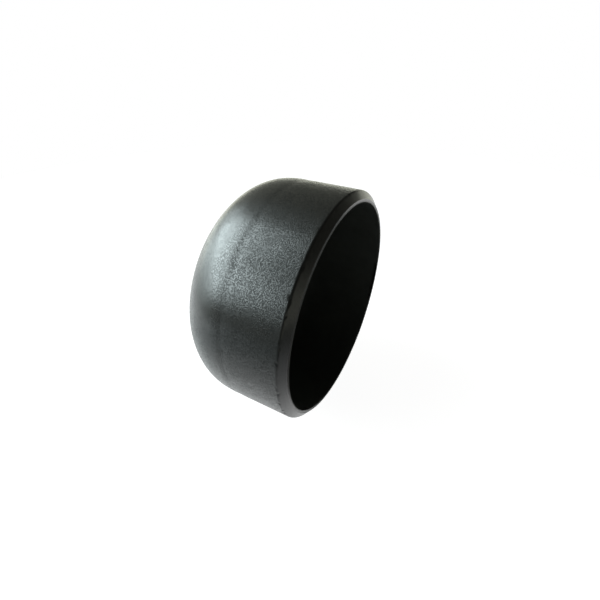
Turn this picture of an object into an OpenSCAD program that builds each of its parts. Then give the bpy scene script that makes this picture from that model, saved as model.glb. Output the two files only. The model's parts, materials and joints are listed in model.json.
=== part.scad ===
// Butt-weld pipe cap: one steel shell pressed to shape, with a straight skirt, a dished
// head and a bevelled weld end.
// The origin is the centre of the weld-end plane. The cap lies with its axis level:
// +X points out of the open mouth, the head is on the -X side and +Z is up.

/* [Shell] */
// Outside diameter of the skirt, which matches the pipe's
outside_d = 108; // [101:0.1:115]
// Wall thickness, the same all over
wall = 5; // [3:0.5:8]
// Overall height from the weld-end plane to the crown's top
height = 64; // [60:1:80]

/* [Head] */
// Inside radius of the knuckle between the skirt and the crown
inside_knuckle_r = 20; // [15:1:22]
// Inside radius of the shallow crown
inside_crown_r = 90; // [85:1:105]

/* [Weld end] */
// Width of the flat root face at the mouth
root_face = 1.6; // [0.8:0.1:2.4]
// Bevel angle from the weld-end plane, in degrees
bevel_angle = 37.5; // [30:0.5:40]

/* [Hidden] */
$fn = 96;

outside_r = outside_d / 2;
inside_r = outside_r - wall;
root_face_r = inside_r + root_face;
bevel_depth = (outside_r - root_face_r) * tan(bevel_angle);

// The inside and the outside of the head are arcs about the same two centres
knuckle_centre_r = inside_r - inside_knuckle_r;
crown_centre_z = height - wall - inside_crown_r;
// Half angle of the crown, from the axis to where it runs into the knuckle
crown_half_angle = asin(knuckle_centre_r / (inside_crown_r - inside_knuckle_r));
// The knuckle stands this much proud of the crown, so the two arcs cross cleanly
blend_overlap = 0.001;
skirt_length = crown_centre_z
    + (inside_crown_r - inside_knuckle_r) * cos(crown_half_angle) + blend_overlap;

// The part of the half section that the crown arc bounds
module crown_region() {
    reach = outside_r;
    polygon([
        [0, 0],
        [knuckle_centre_r, 0],
        [knuckle_centre_r, skirt_length],
        [
            knuckle_centre_r + reach * sin(crown_half_angle),
            skirt_length + reach * cos(crown_half_angle)
        ],
        [0, skirt_length + reach]
    ]);
}

// Half section of a solid plug with the cap's shape, from the mouth plane to the crown.
// outset is 0 for the inside surface and the wall thickness for the outside one.
module half_section(outset) {
    intersection() {
        square([outside_d, 2 * height]);
        union() {
            square([inside_r + outset, skirt_length]);
            translate([knuckle_centre_r, skirt_length])
                circle(r = inside_knuckle_r + outset);
            intersection() {
                translate([0, crown_centre_z])
                    circle(r = inside_crown_r + outset);
                crown_region();
            }
        }
    }
}

// What the weld bevel takes off the skirt's outer corner
module bevel_cut() {
    overrun = 1;
    polygon([
        [root_face_r, 0],
        [outside_r + overrun, bevel_depth + overrun * tan(bevel_angle)],
        [outside_r + overrun, -overrun],
        [root_face_r, -overrun]
    ]);
}

module cap_body() {
    color([0.06, 0.065, 0.065])
        rotate([0, -90, 0])
            rotate_extrude()
                difference() {
                    half_section(wall);
                    half_section(0);
                    bevel_cut();
                }
}

cap_body();
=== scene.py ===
"""Visual model of a butt-weld pipe cap: a painted steel shell with a bevelled weld end.

Everything is in metres in the CAD frame: the origin is the centre of the mouth, +X points
out of it along the axis, and +Z is up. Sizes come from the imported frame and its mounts.
"""

import json
import math

import bpy
import numpy as np
from mathutils import Matrix, Vector, noise


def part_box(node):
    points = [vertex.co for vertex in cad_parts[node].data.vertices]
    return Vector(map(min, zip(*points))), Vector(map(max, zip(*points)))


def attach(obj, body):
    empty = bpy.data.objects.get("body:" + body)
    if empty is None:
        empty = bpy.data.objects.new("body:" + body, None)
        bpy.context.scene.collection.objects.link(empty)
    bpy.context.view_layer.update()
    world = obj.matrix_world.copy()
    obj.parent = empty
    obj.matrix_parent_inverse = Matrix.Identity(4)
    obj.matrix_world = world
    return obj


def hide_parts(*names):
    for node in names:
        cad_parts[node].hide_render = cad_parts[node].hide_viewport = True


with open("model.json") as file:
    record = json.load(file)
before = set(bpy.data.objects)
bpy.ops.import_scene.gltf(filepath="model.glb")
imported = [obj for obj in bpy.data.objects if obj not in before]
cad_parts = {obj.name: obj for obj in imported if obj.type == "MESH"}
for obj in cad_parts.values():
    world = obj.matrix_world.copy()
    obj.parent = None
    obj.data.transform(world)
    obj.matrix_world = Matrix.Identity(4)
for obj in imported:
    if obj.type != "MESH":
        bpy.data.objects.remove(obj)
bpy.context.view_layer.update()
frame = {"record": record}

MM = 0.001

# --- The cap's own dimensions, from the frame -------------------------------------------------
mounts = {mount["name"]: mount for mount in frame["record"]["mounts"]}
BORE_R = mounts["pipe_bore"]["dims"]["r_mm"] * MM
SKIRT_R = mounts["skirt_outside"]["dims"]["r_mm"] * MM
SKIRT_LENGTH = mounts["pipe_bore"]["dims"]["length_mm"] * MM
BEVEL_DEPTH = SKIRT_LENGTH - mounts["skirt_outside"]["dims"]["length_mm"] * MM
WALL = SKIRT_R - BORE_R
HEIGHT = -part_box("cap_body")[0].x
FLOOR_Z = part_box("cap_body")[0].z

# The knuckle's inside radius repeats the CAD's, and tangency gives the crown from it
INSIDE_KNUCKLE_R = 20 * MM
KNUCKLE_CENTRE_R = BORE_R - INSIDE_KNUCKLE_R
HEAD_DEPTH = HEIGHT - WALL - SKIRT_LENGTH
INSIDE_CROWN_R = (KNUCKLE_CENTRE_R**2 + HEAD_DEPTH**2 - INSIDE_KNUCKLE_R**2) / (
    2 * (HEAD_DEPTH - INSIDE_KNUCKLE_R)
)
CROWN_CENTRE_X = INSIDE_CROWN_R + WALL - HEIGHT
CROWN_HALF_ANGLE = math.asin(KNUCKLE_CENTRE_R / (INSIDE_CROWN_R - INSIDE_KNUCKLE_R))
BEVEL_ANGLE = math.radians(37.5)
ROOT_FACE_R = SKIRT_R - BEVEL_DEPTH / math.tan(BEVEL_ANGLE)

# The corner between skirt and bevel is worn round, and the other two are only just eased
WORN_CORNER_R = 1.3 * MM
ROOT_CORNER_R = 0.15 * MM
MOUTH_CORNER_R = 0.15 * MM

# --- Fineness of the mesh ---------------------------------------------------------------------
CROWN_CELLS = 128  # cells along each side of the square grid that makes a crown
AROUND = 4 * CROWN_CELLS

# Rings of points along each stretch of the outline
OUTSIDE_KNUCKLE_RINGS = 34
SKIRT_RINGS = 40
WORN_CORNER_RINGS = 7
BEVEL_RINGS = 9
ROOT_CORNER_RINGS = 3
ROOT_FACE_RINGS = 3
MOUTH_CORNER_RINGS = 4
BORE_RINGS = 15
INSIDE_KNUCKLE_RINGS = 14

# An ease above 1 crowds the rings towards a stretch's end, and one below 1 towards its start
SKIRT_EASE = 1.5
BORE_EASE = 0.8

# --- How the real surface departs from the perfect one ----------------------------------------
# Relief only goes into the metal. Each entry is a size across and a depth: two sizes of
# forming wave, then the paint's unevenness.
RELIEF_LAYERS = ((34 * MM, 0.16 * MM), (13 * MM, 0.06 * MM), (4.5 * MM, 0.030 * MM))
LAYER_SHIFT = Vector((3.1, 1.7, 5.9))  # keeps the layers' noise apart

# Nicks lie along the worn corner where the noise passes a threshold. The depth is for each
# whole unit of noise past it, and the reach is how far from the corner they fade.
NICK_SIZE = 1.7 * MM
NICK_THRESHOLD = 0.30
NICK_DEPTH = 0.9 * MM
NICK_REACH = 0.9 * MM
NICK_FARTHEST = 3 * NICK_REACH

# The pressed head sits a touch inside the skirt, with a faint mark where its die ended.
# The edge of both wanders a little round the cap.
HEAD_INSET = 0.13 * MM
HEAD_INSET_START_X = -SKIRT_LENGTH + 2.7 * MM
HEAD_INSET_REACH = 5.0 * MM
DIE_MARK_X = -SKIRT_LENGTH + 4.7 * MM
DIE_MARK_DEPTH = 0.09 * MM
DIE_MARK_REACH = 1.8 * MM
DIE_WANDER = 0.8 * MM
DIE_WANDER_SIZE = 40 * MM


# --- The cap's mesh ---------------------------------------------------------------------------
SURFACES = ("outside", "bevel", "root_face", "inside")


def straight(start, end, count, ease=1.0):
    """Points between the two ends of a straight stretch, without the ends."""
    start, end = np.array(start), np.array(end)
    return [
        start + (end - start) * (1 - (1 - t) ** ease) for t in np.linspace(0, 1, count + 2)[1:-1]
    ]


def rounded_corner(before, corner, after, radius, count):
    """Points of an arc of that radius that rounds a corner of the outline."""
    before, corner, after = (np.array(p, float) for p in (before, corner, after))
    towards = (before - corner) / np.linalg.norm(before - corner)
    away = (after - corner) / np.linalg.norm(after - corner)
    half = math.acos(float(towards @ away)) / 2
    start = corner + towards * radius / math.tan(half)
    end = corner + away * radius / math.tan(half)
    middle = (towards + away) / np.linalg.norm(towards + away)
    centre = corner + middle * radius / math.sin(half)
    first, last = start - centre, end - centre
    sweep = math.pi - 2 * half
    points = []
    for t in np.linspace(0, 1, count):
        mix = (math.sin((1 - t) * sweep) * first + math.sin(t * sweep) * last) / math.sin(sweep)
        points.append(centre + mix)
    return points


def knuckle_arc(radius, count):
    """Points (x, r) from the crown's edge to the skirt."""
    angles = np.linspace(CROWN_HALF_ANGLE, math.pi / 2, count)
    return [
        (-SKIRT_LENGTH - radius * math.cos(a), KNUCKLE_CENTRE_R + radius * math.sin(a))
        for a in angles
    ]


def outline():
    """The half section, from the edge of the outside crown round the mouth to the inside one's.

    Returns points (x, r) and, for each, the name of the surface that leads up to it.
    """
    skirt_start = (-SKIRT_LENGTH, SKIRT_R)
    bevel_outer = (-BEVEL_DEPTH, SKIRT_R)
    bevel_inner = (0, ROOT_FACE_R)
    mouth_edge = (0, BORE_R)
    bore_end = (-SKIRT_LENGTH, BORE_R)
    outer_corner = rounded_corner(
        skirt_start, bevel_outer, bevel_inner, WORN_CORNER_R, WORN_CORNER_RINGS
    )
    root_corner = rounded_corner(
        bevel_outer, bevel_inner, mouth_edge, ROOT_CORNER_R, ROOT_CORNER_RINGS
    )
    mouth_corner = rounded_corner(
        bevel_inner, mouth_edge, bore_end, MOUTH_CORNER_R, MOUTH_CORNER_RINGS
    )
    inside_knuckle = knuckle_arc(INSIDE_KNUCKLE_R, INSIDE_KNUCKLE_RINGS)[::-1]
    stretches = [
        ("outside", knuckle_arc(INSIDE_KNUCKLE_R + WALL, OUTSIDE_KNUCKLE_RINGS)),
        ("outside", straight(skirt_start, outer_corner[0], SKIRT_RINGS, SKIRT_EASE)),
        ("bevel", outer_corner),
        ("bevel", straight(outer_corner[-1], root_corner[0], BEVEL_RINGS)),
        ("root_face", root_corner),
        ("root_face", straight(root_corner[-1], mouth_corner[0], ROOT_FACE_RINGS)),
        ("inside", mouth_corner),
        ("inside", straight(mouth_corner[-1], bore_end, BORE_RINGS, BORE_EASE)),
        ("inside", inside_knuckle),
    ]
    points = [tuple(p) for _, stretch in stretches for p in stretch]
    names = [name for name, stretch in stretches for _ in stretch]
    return np.array(points), names


def turned_rings(section):
    """The outline turned about the axis. Returns points, normals out of the metal and faces."""
    along = np.gradient(section, axis=0)
    along /= np.linalg.norm(along, axis=1)[:, None]
    turn = np.linspace(0, 2 * math.pi, AROUND, endpoint=False)
    radial = np.stack([np.zeros(AROUND), -np.sin(turn), np.cos(turn)], -1)
    axis = np.array([1.0, 0, 0])
    points = section[:, None, :1] * axis + section[:, None, 1:] * radial
    normals = -along[:, None, 1:] * axis + along[:, None, :1] * radial
    step = np.arange(AROUND)
    after = (step + 1) % AROUND
    faces = []
    for ring in range(len(section) - 1):
        low, high = ring * AROUND, (ring + 1) * AROUND
        faces.append(np.stack([low + step, high + step, high + after, low + after], -1))
    return points.reshape(-1, 3), normals.reshape(-1, 3), np.concatenate(faces)


def crown_grid(radius):
    """A crown as an even square grid of points.

    Returns the points, their normals towards the outside of the head and each point's angle
    about the axis, which runs from +Z towards -Y as it does round the rings.
    """
    side = np.linspace(-1, 1, CROWN_CELLS + 1)
    a, b = np.meshgrid(side, side, indexing="ij")
    wide = np.abs(a) > np.abs(b)
    reach = np.where(wide, a, b)
    with np.errstate(divide="ignore", invalid="ignore"):
        turn = np.where(
            wide,
            math.pi / 4 * b / a,
            math.pi / 2 - math.pi / 4 * np.where(b == 0, 0, a / b),
        )
    turn = np.where(reach == 0, 0, turn)
    tilt = reach * CROWN_HALF_ANGLE
    normals = np.stack(
        [-np.cos(tilt), -np.sin(tilt) * np.sin(turn), np.sin(tilt) * np.cos(turn)], -1
    )
    points = normals * radius + np.array([CROWN_CENTRE_X, 0, 0])
    angle = np.mod(turn + np.where(reach < 0, math.pi, 0), 2 * math.pi)
    return points, normals, angle


def relief(point):
    """How far the forming waves and the paint's unevenness go into the metal at a point."""
    depth = 0.0
    for number, (size, amplitude) in enumerate(RELIEF_LAYERS, start=1):
        shifted = Vector(point) / size + LAYER_SHIFT * number
        depth += amplitude * (0.5 + 0.5 * noise.noise(shifted))
    return depth


def nick(point):
    """How deep the handling damage along the worn corner is at a point."""
    off_corner = math.hypot(point[0] + BEVEL_DEPTH, math.hypot(point[1], point[2]) - SKIRT_R)
    if off_corner > NICK_FARTHEST:
        return 0.0
    strength = max(0.0, noise.noise(Vector(point) / NICK_SIZE) - NICK_THRESHOLD)
    return NICK_DEPTH * strength * math.exp(-((off_corner / NICK_REACH) ** 2))


def die_mark(point):
    """How deep the forming die left the outside of the head and its edge at a point."""
    wander = DIE_WANDER * noise.noise(Vector((0, point[1], point[2])) / DIE_WANDER_SIZE)
    into_head = (HEAD_INSET_START_X + wander - point[0]) / HEAD_INSET_REACH
    into_head = min(max(into_head, 0.0), 1.0)
    from_mark = (point[0] - DIE_MARK_X - wander) / DIE_MARK_REACH
    groove = DIE_MARK_DEPTH * math.exp(-(from_mark**2))
    return HEAD_INSET * into_head**2 * (3 - 2 * into_head) + groove


def cap_surface():
    """The whole surface before its relief: rings along the outline, closed by the two crowns.

    Returns points, normals, whether each point is on the outside, faces and their slots.
    """
    section, names = outline()
    ring_points, ring_normals, ring_faces = turned_rings(section)
    points, normals, faces = [ring_points], [ring_normals], [ring_faces]
    outer = [np.repeat([name == "outside" for name in names], AROUND)]
    face_slots = [np.repeat([SURFACES.index(name) for name in names[1:]], AROUND)]
    count = len(ring_points)
    for ring, radius, surface in (
        (0, INSIDE_CROWN_R + WALL, "outside"),
        (len(section) - 1, INSIDE_CROWN_R, "inside"),
    ):
        outward = surface == "outside"
        grid, grid_normals, angle = crown_grid(radius)
        within = np.zeros(angle.shape, bool)
        within[1:-1, 1:-1] = True
        # the grid's edge is the ring's own points, and the points within it are new
        step = np.rint(angle * AROUND / (2 * math.pi)).astype(int) % AROUND
        index = ring * AROUND + step
        index[within] = count + np.arange(within.sum())
        cells = np.stack([index[:-1, :-1], index[1:, :-1], index[1:, 1:], index[:-1, 1:]], -1)
        cells = cells.reshape(-1, 4)
        points.append(grid[within])
        normals.append(grid_normals[within] * (1 if outward else -1))
        outer.append(np.full(within.sum(), outward))
        faces.append(cells if outward else cells[:, ::-1])
        face_slots.append(np.full(len(cells), SURFACES.index(surface)))
        count += within.sum()
    return (np.concatenate(part) for part in (points, normals, outer, faces, face_slots))


def build_cap():
    """The shell as one closed mesh, with its relief."""
    points, normals, outer, faces, face_slots = cap_surface()
    depth = np.array([relief(p) + nick(p) for p in points])
    depth[outer] += [die_mark(p) for p in points[outer]]
    points = points - normals * depth[:, None]

    mesh = bpy.data.meshes.new("cap_shell")
    mesh.from_pydata(points.tolist(), [], faces.tolist())
    mesh.polygons.foreach_set("material_index", face_slots.tolist())
    mesh.polygons.foreach_set("use_smooth", [True] * len(mesh.polygons))
    mesh.update()
    shell = bpy.data.objects.new("cap_shell", mesh)
    bpy.context.collection.objects.link(shell)
    return shell


# --- Helpers for materials --------------------------------------------------------------------
def add_node(tree, kind, inputs=None, **settings):
    """A new node. An input is a value, or another node's output socket to link from."""
    made = tree.nodes.new(kind)
    for name, value in settings.items():
        setattr(made, name, value)
    for socket, value in (inputs or {}).items():
        if isinstance(value, bpy.types.NodeSocket):
            tree.links.new(value, made.inputs[socket])
        else:
            made.inputs[socket].default_value = value
    return made


def maths(tree, operation, first, *others):
    """The first value joined with each of the others in turn by that operation."""
    for other in others:
        node = add_node(tree, "ShaderNodeMath", {0: first, 1: other}, operation=operation)
        first = node.outputs["Value"]
    return first


def noise_field(tree, place, size, detail=2.0):
    """Noise from 0 to 1 whose features are about that size across."""
    inputs = {"Vector": place, "Scale": 1 / size, "Detail": detail, "Roughness": 0.5}
    return add_node(tree, "ShaderNodeTexNoise", inputs).outputs["Fac"]


def span(tree, value, low, high, to_low=0.0, to_high=1.0):
    """value mapped from one range onto another, smoothly and held at the ends."""
    return add_node(
        tree,
        "ShaderNodeMapRange",
        {"Value": value, "From Min": low, "From Max": high, "To Min": to_low, "To Max": to_high},
        interpolation_type="SMOOTHSTEP",
    ).outputs["Result"]


def between(tree, share, at_zero, at_one):
    """The value that lies that share of the way from at_zero to at_one."""
    inputs = {"Value": share, "To Min": at_zero, "To Max": at_one}
    return add_node(tree, "ShaderNodeMapRange", inputs).outputs["Result"]


def blend_colours(tree, share, at_zero, at_one):
    """The colour that lies that share of the way from at_zero to at_one."""
    inputs = {"Factor": share, "A": at_zero, "B": at_one}
    return add_node(tree, "ShaderNodeMix", inputs, data_type="RGBA").outputs["Result"]


def new_material(name):
    """Returns a new material, its tree, its shader and a point's place on its object."""
    material = bpy.data.materials.new(name)
    material.use_nodes = True
    tree = material.node_tree
    shader = tree.nodes["Principled BSDF"]
    place = add_node(tree, "ShaderNodeTexCoord").outputs["Object"]
    return material, tree, shader, place


def set_bump(tree, shader, height):
    """height is in metres."""
    bump = add_node(tree, "ShaderNodeBump", {"Height": height, "Distance": 1.0, "Strength": 1.0})
    for socket in ("Normal", "Coat Normal"):
        tree.links.new(bump.outputs["Normal"], shader.inputs[socket])


# --- Paint ------------------------------------------------------------------------------------
# The grain is made of pebbles with gaps between them. Noise below PEBBLE_GAP is the bottom
# of a gap, and noise above PEBBLE_TOP is a flat top.
PEBBLE_SIZE = 0.48 * MM
PEBBLE_DETAIL = 1.5
PEBBLE_GAP = 0.37
PEBBLE_TOP = 0.62

# Wider lumps lie under the pebbles, and LUMP_SHARE is their height against the pebbles'.
# Blotches vary the colour.
LUMP_SIZE = 1.2 * MM
LUMP_SHARE = 1.2
BLOTCH_SIZE = 14 * MM

BODY_IOR = 1.25
COAT_IOR = 1.60
COAT_ROUGHNESS = 0.24

# The paint is smoother and glossier over the head. It changes between these two places,
# and the blotches move the change towards the mouth by up to PAINT_EDGE_WANDER.
HEAD_PAINT_X = -SKIRT_LENGTH + 0.3 * MM
SKIRT_PAINT_X = -SKIRT_LENGTH + 3.8 * MM
PAINT_EDGE_WANDER = 2 * MM
HEAD_COAT = (0.50, 1.0)
HEAD_GRAIN = 0.8


def black_paint(name, grain_height, roughness, coat, dark, light, smooth_head=False):
    """Satin black paint over steel, with a grain that is glossy on top and matt in the gaps.

    grain_height is in metres. roughness and coat are for the gaps and the tops. dark and
    light are the ends of its colour. With smooth_head it is smoother and glossier over
    the head than on the skirt.
    """
    material, tree, shader, place = new_material(name)
    pebbles = noise_field(tree, place, PEBBLE_SIZE, PEBBLE_DETAIL)
    pebbles = span(tree, pebbles, PEBBLE_GAP, PEBBLE_TOP)
    lumps = noise_field(tree, place, LUMP_SIZE, detail=1.0)
    blotches = noise_field(tree, place, BLOTCH_SIZE)
    coated = span(tree, pebbles, 0, 1, *coat)
    grain = maths(tree, "ADD", pebbles, maths(tree, "MULTIPLY", lumps, LUMP_SHARE))
    if smooth_head:
        along = add_node(tree, "ShaderNodeSeparateXYZ", {0: place}).outputs["X"]
        along = maths(tree, "ADD", along, maths(tree, "MULTIPLY", blotches, -PAINT_EDGE_WANDER))
        head = span(tree, along, HEAD_PAINT_X, SKIRT_PAINT_X, 1.0, 0.0)
        coated = between(tree, head, coated, span(tree, pebbles, 0, 1, *HEAD_COAT))
        grain = maths(tree, "MULTIPLY", grain, span(tree, head, 0, 1, 1.0, HEAD_GRAIN))
    set_bump(tree, shader, maths(tree, "MULTIPLY", grain, grain_height))
    tree.links.new(coated, shader.inputs["Coat Weight"])
    tree.links.new(span(tree, pebbles, 0, 1, *roughness), shader.inputs["Roughness"])
    tree.links.new(blend_colours(tree, blotches, dark, light), shader.inputs["Base Color"])
    shader.inputs["IOR"].default_value = BODY_IOR
    shader.inputs["Coat IOR"].default_value = COAT_IOR
    shader.inputs["Coat Roughness"].default_value = COAT_ROUGHNESS
    return material


outside_paint = black_paint(
    "outside_paint",
    grain_height=0.014 * MM,
    roughness=(0.50, 0.35),
    coat=(0.20, 0.92),
    dark=(0.002, 0.0022, 0.002, 1),
    light=(0.006, 0.0065, 0.006, 1),
    smooth_head=True,
)
bevel_paint = black_paint(
    "bevel_paint",
    grain_height=0.003 * MM,
    roughness=(0.36, 0.30),
    coat=(0.42, 0.62),
    dark=(0.003, 0.0032, 0.003, 1),
    light=(0.006, 0.006, 0.0055, 1),
)
root_paint = black_paint(
    "root_face_paint",
    grain_height=0.003 * MM,
    roughness=(0.36, 0.30),
    coat=(0.42, 0.62),
    dark=(0.006, 0.006, 0.006, 1),
    light=(0.012, 0.012, 0.011, 1),
)
inside_paint = black_paint(
    "inside_paint",
    grain_height=0.012 * MM,
    roughness=(0.60, 0.50),
    coat=(0.0, 0.15),
    dark=(0.020, 0.022, 0.020, 1),
    light=(0.042, 0.046, 0.042, 1),
)

cap = build_cap()
for material in (outside_paint, bevel_paint, root_paint, inside_paint):  # as in SURFACES
    cap.data.materials.append(material)
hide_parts("cap_body")
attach(cap, "root")

# --- Floor ------------------------------------------------------------------------------------
# A tabletop. The camera sees it nearly white, and the paint reflects patches of light and
# shade on it.
FLOOR_R = 0.5
FLOOR_SIDES = 180
FLOOR_COLOUR = (0.20, 0.20, 0.20, 1)
FLOOR_ROUGHNESS = 0.35
FLOOR_GLOW_SEEN = 0.96

# The reflected glow fades with the distance from under the mouth's centre. There is more of
# it beyond the head, in front of the mouth and at the back, and the cap's shadow takes most
# of it away in front of the mouth between two Y edges. A pair is where an edge begins and
# ends.
FLOOR_NEAR_TO_FAR = (0.05, 0.24)
FLOOR_GLOW_NEAR = 0.70
FLOOR_GLOW_FAR = 0.0
FLOOR_GLOW_HEAD = 0.8
FLOOR_HEAD_X = (-0.22, -0.10)
FLOOR_HEAD_Y = (-0.35, -0.15)
FLOOR_GLOW_MOUTH = 0.40
FLOOR_MOUTH_X = (-0.01, 0.02)
FLOOR_MOUTH_Y = (-0.070, -0.052)
FLOOR_SHADOW = 0.92
FLOOR_SHADOW_X = (-0.03, 0.0)
FLOOR_SHADOW_FRONT_Y = (-0.028, -0.012)
FLOOR_SHADOW_BACK_Y = (0.19, 0.26)
FLOOR_GLOW_BACK = 1.0
FLOOR_BACK_Y = (0.20, 0.30)


def reflected_floor(tree, place):
    """How brightly the floor glows in the cap's reflections."""
    axes = add_node(tree, "ShaderNodeSeparateXYZ", {0: place})
    x, y = axes.outputs["X"], axes.outputs["Y"]
    ends = {0: place, 1: (0, 0, FLOOR_Z)}
    off = add_node(tree, "ShaderNodeVectorMath", ends, operation="DISTANCE").outputs["Value"]
    near = span(tree, off, *FLOOR_NEAR_TO_FAR, FLOOR_GLOW_NEAR, FLOOR_GLOW_FAR)
    head = maths(
        tree,
        "MULTIPLY",
        span(tree, x, *FLOOR_HEAD_X, FLOOR_GLOW_HEAD, 0.0),
        span(tree, y, *FLOOR_HEAD_Y),
    )
    mouth = maths(
        tree,
        "MULTIPLY",
        span(tree, x, *FLOOR_MOUTH_X, 0.0, FLOOR_GLOW_MOUTH),
        span(tree, y, *FLOOR_MOUTH_Y),
    )
    shadow = maths(
        tree,
        "MULTIPLY",
        span(tree, y, *FLOOR_SHADOW_FRONT_Y),
        span(tree, y, *FLOOR_SHADOW_BACK_Y, 1.0, 0.0),
        span(tree, x, *FLOOR_SHADOW_X, 0.0, FLOOR_SHADOW),
    )
    back = span(tree, y, *FLOOR_BACK_Y, 0.0, FLOOR_GLOW_BACK)
    glow = maths(tree, "ADD", near, head, mouth)
    glow = maths(tree, "MULTIPLY", glow, maths(tree, "SUBTRACT", 1.0, shadow))
    return maths(tree, "ADD", glow, back)


def build_floor():
    """A round floor under the cap."""
    mesh = bpy.data.meshes.new("floor")
    rim = np.linspace(0, 2 * math.pi, FLOOR_SIDES, endpoint=False)
    mesh.from_pydata(
        [(FLOOR_R * math.cos(a) - HEIGHT / 2, FLOOR_R * math.sin(a), FLOOR_Z) for a in rim],
        [],
        [list(range(FLOOR_SIDES))],
    )
    material, tree, shader, place = new_material("pale_floor")
    shader.inputs["Base Color"].default_value = FLOOR_COLOUR
    shader.inputs["Roughness"].default_value = FLOOR_ROUGHNESS
    shader.inputs["Emission Color"].default_value = (1, 1, 1, 1)
    seen = add_node(tree, "ShaderNodeLightPath").outputs["Is Camera Ray"]
    glow = between(tree, seen, reflected_floor(tree, place), FLOOR_GLOW_SEEN)
    tree.links.new(glow, shader.inputs["Emission Strength"])
    mesh.materials.append(material)
    made = bpy.data.objects.new("floor", mesh)
    bpy.context.collection.objects.link(made)
    return made


floor = build_floor()

# --- Light from the window --------------------------------------------------------------------
# The window's place is measured from a point on the cap's axis
WINDOW_FROM = Vector((-0.45 * HEIGHT, 0, 0))
WINDOW_AZIMUTH = -104
WINDOW_DISTANCE = 0.45
WINDOW_COLOUR = (0.86, 1.0, 1.02)

# Each pane's start and end along the window from its nearest line, its bottom and top from
# the cap's axis, and its radiance
WINDOW_PANES = (
    (0.05, 0.3, 0.22, 0.58, 9.3),
    (0.05, 0.3, 0.58, 0.90, 5.6),
    (0.3, 0.5, 0.22, 0.90, 9.3),
    (0.05, 0.5, 0.90, 1.08, 2.6),
    (-0.22, 0.05, 0.55, 0.95, 0.45),
    (-0.07, 0.05, 0.16, 0.45, 2.3),
    (-0.10, 0.05, -0.045, 0.16, 1.1),
    (0.05, 0.5, 0.06, 0.22, 3.6),
    (0.05, 0.7, -0.045, 0.06, 1.5),
    (0.5, 0.9, 0.20, 0.86, 8.4),
    (0.5, 0.9, 0.10, 0.20, 4.5),
    (0.9, 1.52, 0.32, 0.86, 7.6),
    (0.9, 1.52, 0.16, 0.32, 3.6),
)


def direction(azimuth, elevation):
    """The unit vector from the cap towards that side. Azimuth 0 is -Y and 90 is +X."""
    a, e = math.radians(azimuth), math.radians(elevation)
    return Vector((math.sin(a) * math.cos(e), -math.cos(a) * math.cos(e), math.sin(e)))


def window_pane(name, start, end, bottom, top, radiance):
    """One upright pane of the window, which faces the cap."""
    lamp = bpy.data.lights.new(name, "AREA")
    lamp.shape = "RECTANGLE"
    lamp.size, lamp.size_y = end - start, top - bottom
    lamp.energy = radiance * math.pi * lamp.size * lamp.size_y
    lamp.color = WINDOW_COLOUR
    away, along = direction(WINDOW_AZIMUTH, 0), direction(WINDOW_AZIMUTH + 90, 0)
    holder = bpy.data.objects.new(name, lamp)
    holder.location = WINDOW_FROM + away * WINDOW_DISTANCE + along * (start + end) / 2
    holder.location.z += (bottom + top) / 2
    holder.rotation_euler = (-away).to_track_quat("-Z", "Y").to_euler()
    bpy.context.collection.objects.link(holder)


for number, pane in enumerate(WINDOW_PANES):
    window_pane(f"window_pane_{number}", *pane)

# --- Light from the room ----------------------------------------------------------------------
# The room is dim on the mouth's side and lighter on the head's. A low band of light lies in
# front of the mouth, and the table beyond the floor is bright at the back. The camera sees
# plain white instead. A pair is the two coordinates of a direction that a change runs
# between.
ROOM_COLOUR = (0.98, 1.0, 0.85, 1)
ROOM_WALLS_X = (-0.9, 0.1)
ROOM_WALLS_HEAD = 0.37
ROOM_WALLS_MOUTH = 0.06
ROOM_LOW = 0.62
ROOM_LOW_X = (0.2, 0.95)
ROOM_LOW_Z = (0.05, 0.30)
ROOM_TABLE_Y = (-0.2, 0.4)
ROOM_TABLE_FRONT = 0.03
ROOM_TABLE_BACK = 1.1
ROOM_TABLE_Z = (-0.02, 0.08)
BACKDROP = 1.0


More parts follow.
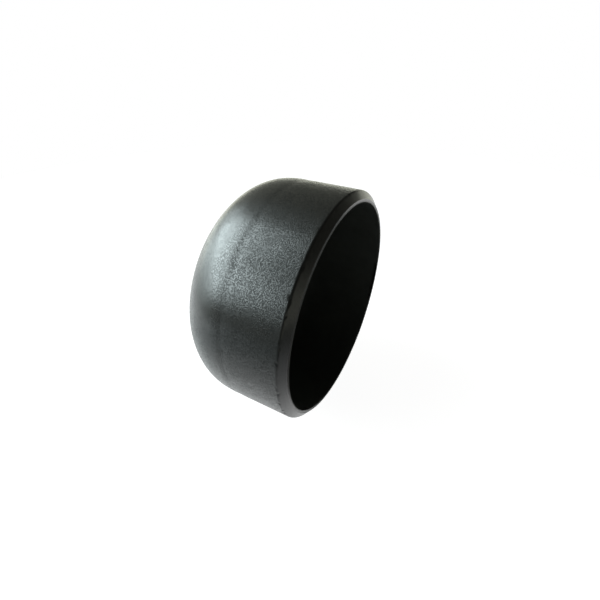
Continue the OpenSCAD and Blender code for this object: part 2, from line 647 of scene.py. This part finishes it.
def build_room():
    """The world's light, which depends on the direction that it comes from."""
    world = bpy.data.worlds.new("studio")
    world.use_nodes = True
    sky = world.node_tree
    sky.nodes.clear()
    facing = add_node(sky, "ShaderNodeTexCoord").outputs["Generated"]
    axes = add_node(sky, "ShaderNodeSeparateXYZ", {0: facing})
    x, y, z = (axes.outputs[name] for name in "XYZ")
    low_band = maths(
        sky, "MULTIPLY", span(sky, z, *ROOM_LOW_Z, ROOM_LOW, 0.0), span(sky, x, *ROOM_LOW_X)
    )
    table = maths(
        sky,
        "MULTIPLY",
        span(sky, y, *ROOM_TABLE_Y, ROOM_TABLE_FRONT, ROOM_TABLE_BACK),
        span(sky, z, *ROOM_TABLE_Z, 1.0, 0.0),
    )
    walls = span(sky, x, *ROOM_WALLS_X, ROOM_WALLS_HEAD, ROOM_WALLS_MOUTH)
    light = maths(sky, "ADD", low_band, table, walls)
    room = add_node(sky, "ShaderNodeBackground", {"Color": ROOM_COLOUR, "Strength": light})
    white = add_node(sky, "ShaderNodeBackground", {"Color": (1, 1, 1, 1), "Strength": BACKDROP})
    seen = add_node(sky, "ShaderNodeLightPath").outputs["Is Camera Ray"]
    shown = {0: seen, 1: room.outputs[0], 2: white.outputs[0]}
    mixed = add_node(sky, "ShaderNodeMixShader", shown)
    add_node(sky, "ShaderNodeOutputWorld", {"Surface": mixed.outputs[0]})
    return world


bpy.context.scene.world = build_room()

# --- Camera -----------------------------------------------------------------------------------
CAMERA_AZIMUTH = 28.91
CAMERA_ELEVATION = 36.90
CAMERA_SENSOR_MM = 36
CAMERA_LENS_MM = 22.077
CAMERA_CLIP_START = 0.01
# where the mouth's centre lies from the camera: to the right, down and forwards
MOUTH_FROM_CAMERA = (19.77 * MM, 4.34 * MM, 172.06 * MM)


def build_camera():
    """The photo's camera, which has no roll."""
    back = direction(CAMERA_AZIMUTH, CAMERA_ELEVATION)
    right = direction(CAMERA_AZIMUTH + 90, 0)
    up = back.cross(right)
    lens = bpy.data.cameras.new("camera")
    lens.sensor_width = CAMERA_SENSOR_MM
    lens.lens = CAMERA_LENS_MM
    lens.clip_start = CAMERA_CLIP_START
    made = bpy.data.objects.new("camera", lens)
    to_right, down, forwards = MOUTH_FROM_CAMERA
    place = Matrix.Translation(-(right * to_right - up * down - back * forwards))
    made.matrix_world = place @ Matrix((right, up, back)).transposed().to_4x4()
    bpy.context.collection.objects.link(made)
    return made


bpy.context.scene.camera = build_camera()
bpy.context.scene.view_settings.view_transform = "Standard"
